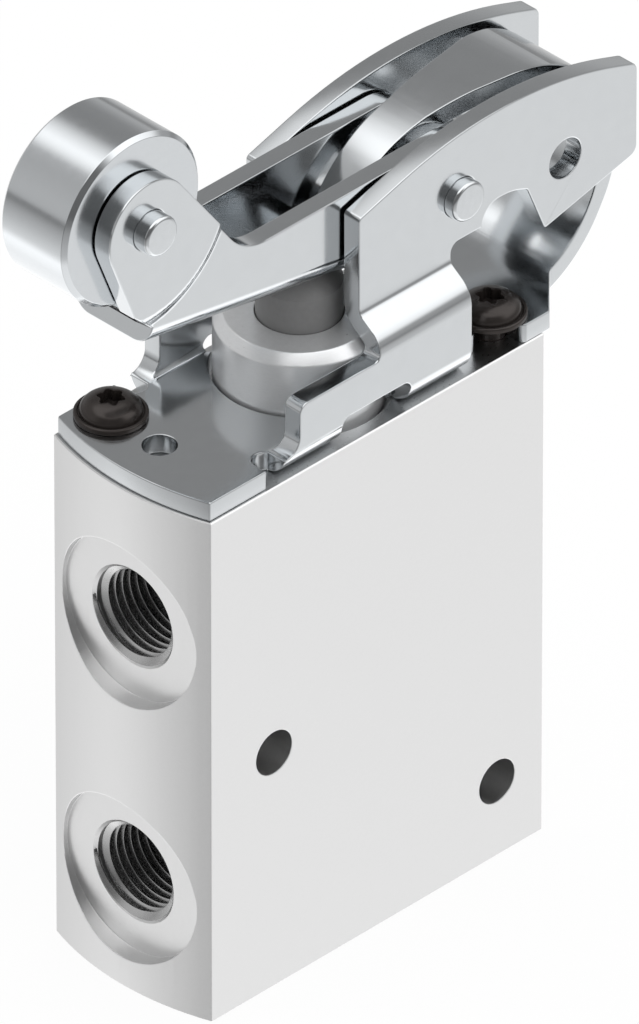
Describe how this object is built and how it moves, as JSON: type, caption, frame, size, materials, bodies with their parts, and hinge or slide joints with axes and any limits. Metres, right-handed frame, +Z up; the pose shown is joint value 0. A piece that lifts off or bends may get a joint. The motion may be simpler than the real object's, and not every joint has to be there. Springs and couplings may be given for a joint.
{
  "type": "roller lever air valve",
  "caption": "Roller lever air valve: a ported aluminium block with a poppet inside, worked by a plunger under a sprung sheet-metal lever with a steel roller.",
  "frame": {"origin": "on the plunger's axis, in the middle of the body's bottom face", "axes": "+X from the end with two ports towards the end with one port, +Y across the body, +Z up from the bottom face to the lever"},
  "size_m": [0.0695, 0.02, 0.0956],
  "materials": {
    "body": "satin, lightly blasted",
    "collar": "satin, turned",
    "plunger": "fine matte",
    "tube": "drawn",
    "seal": "matte",
    "disc": "matte",
    "spring": "drawn wire",
    "insert": "turned",
    "poppet": "turned",
    "plug": "satin, turned",
    "bracket": "bright plated sheet",
    "lever": "bright plated sheet",
    "screw": "blackened, satin",
    "pin": "ground",
    "roller": "polished"
  },
  "bodies": {
    "housing": {"valve_body": "body", "guide_collar": "collar", "collar_seal": "seal", "plunger_seal": "seal", "tube_seal": "seal", "plunger_spring": "spring", "seat_insert": "insert", "seat_seal": "seal", "poppet_spring": "spring", "closing_plug": "plug", "plug_seal": "seal", "lever_bracket": "bracket", "bracket_screws": "screw", "lever_pivot_pin": "pin"},
    "lever": {"roller_lever": "lever", "roller_pin": "pin"},
    "roller": {"roller": "roller"},
    "plunger": {"plunger": "plunger", "tappet_tube": "tube"},
    "poppet": {"poppet": "poppet", "poppet_disc": "disc"}
  },
  "joints": [
    {"name": "lever_pivot", "type": "hinge", "parent": "housing", "child": "lever", "pos_m": [0.01325, 0, 0.0724], "axis": [0, -1, 0], "range_deg": [0, 10], "stiffness_Nm_per_rad": 0.5, "springref_deg": -17.19},
    {"name": "roller_spin", "type": "hinge", "parent": "lever", "child": "roller", "pos_m": [-0.02505, 0, 0.087], "axis": [0, -1, 0], "continuous": true},
    {"name": "plunger_slide", "type": "slide", "parent": "housing", "child": "plunger", "axis": [0, 0, -1], "range_m": [0, 0.00217], "deforming": ["plunger_spring"]},
    {"name": "poppet_slide", "type": "slide", "parent": "housing", "child": "poppet", "axis": [0, 0, -1], "range_m": [0, 0.00116], "deforming": ["poppet_spring"]}
  ],
  "couplings": [
    {"joint": "plunger_slide", "follows": "lever_pivot", "m_per_rad": 0.01239},
    {"joint": "poppet_slide", "follows": "lever_pivot", "m_per_rad": 0.0066}
  ]
}
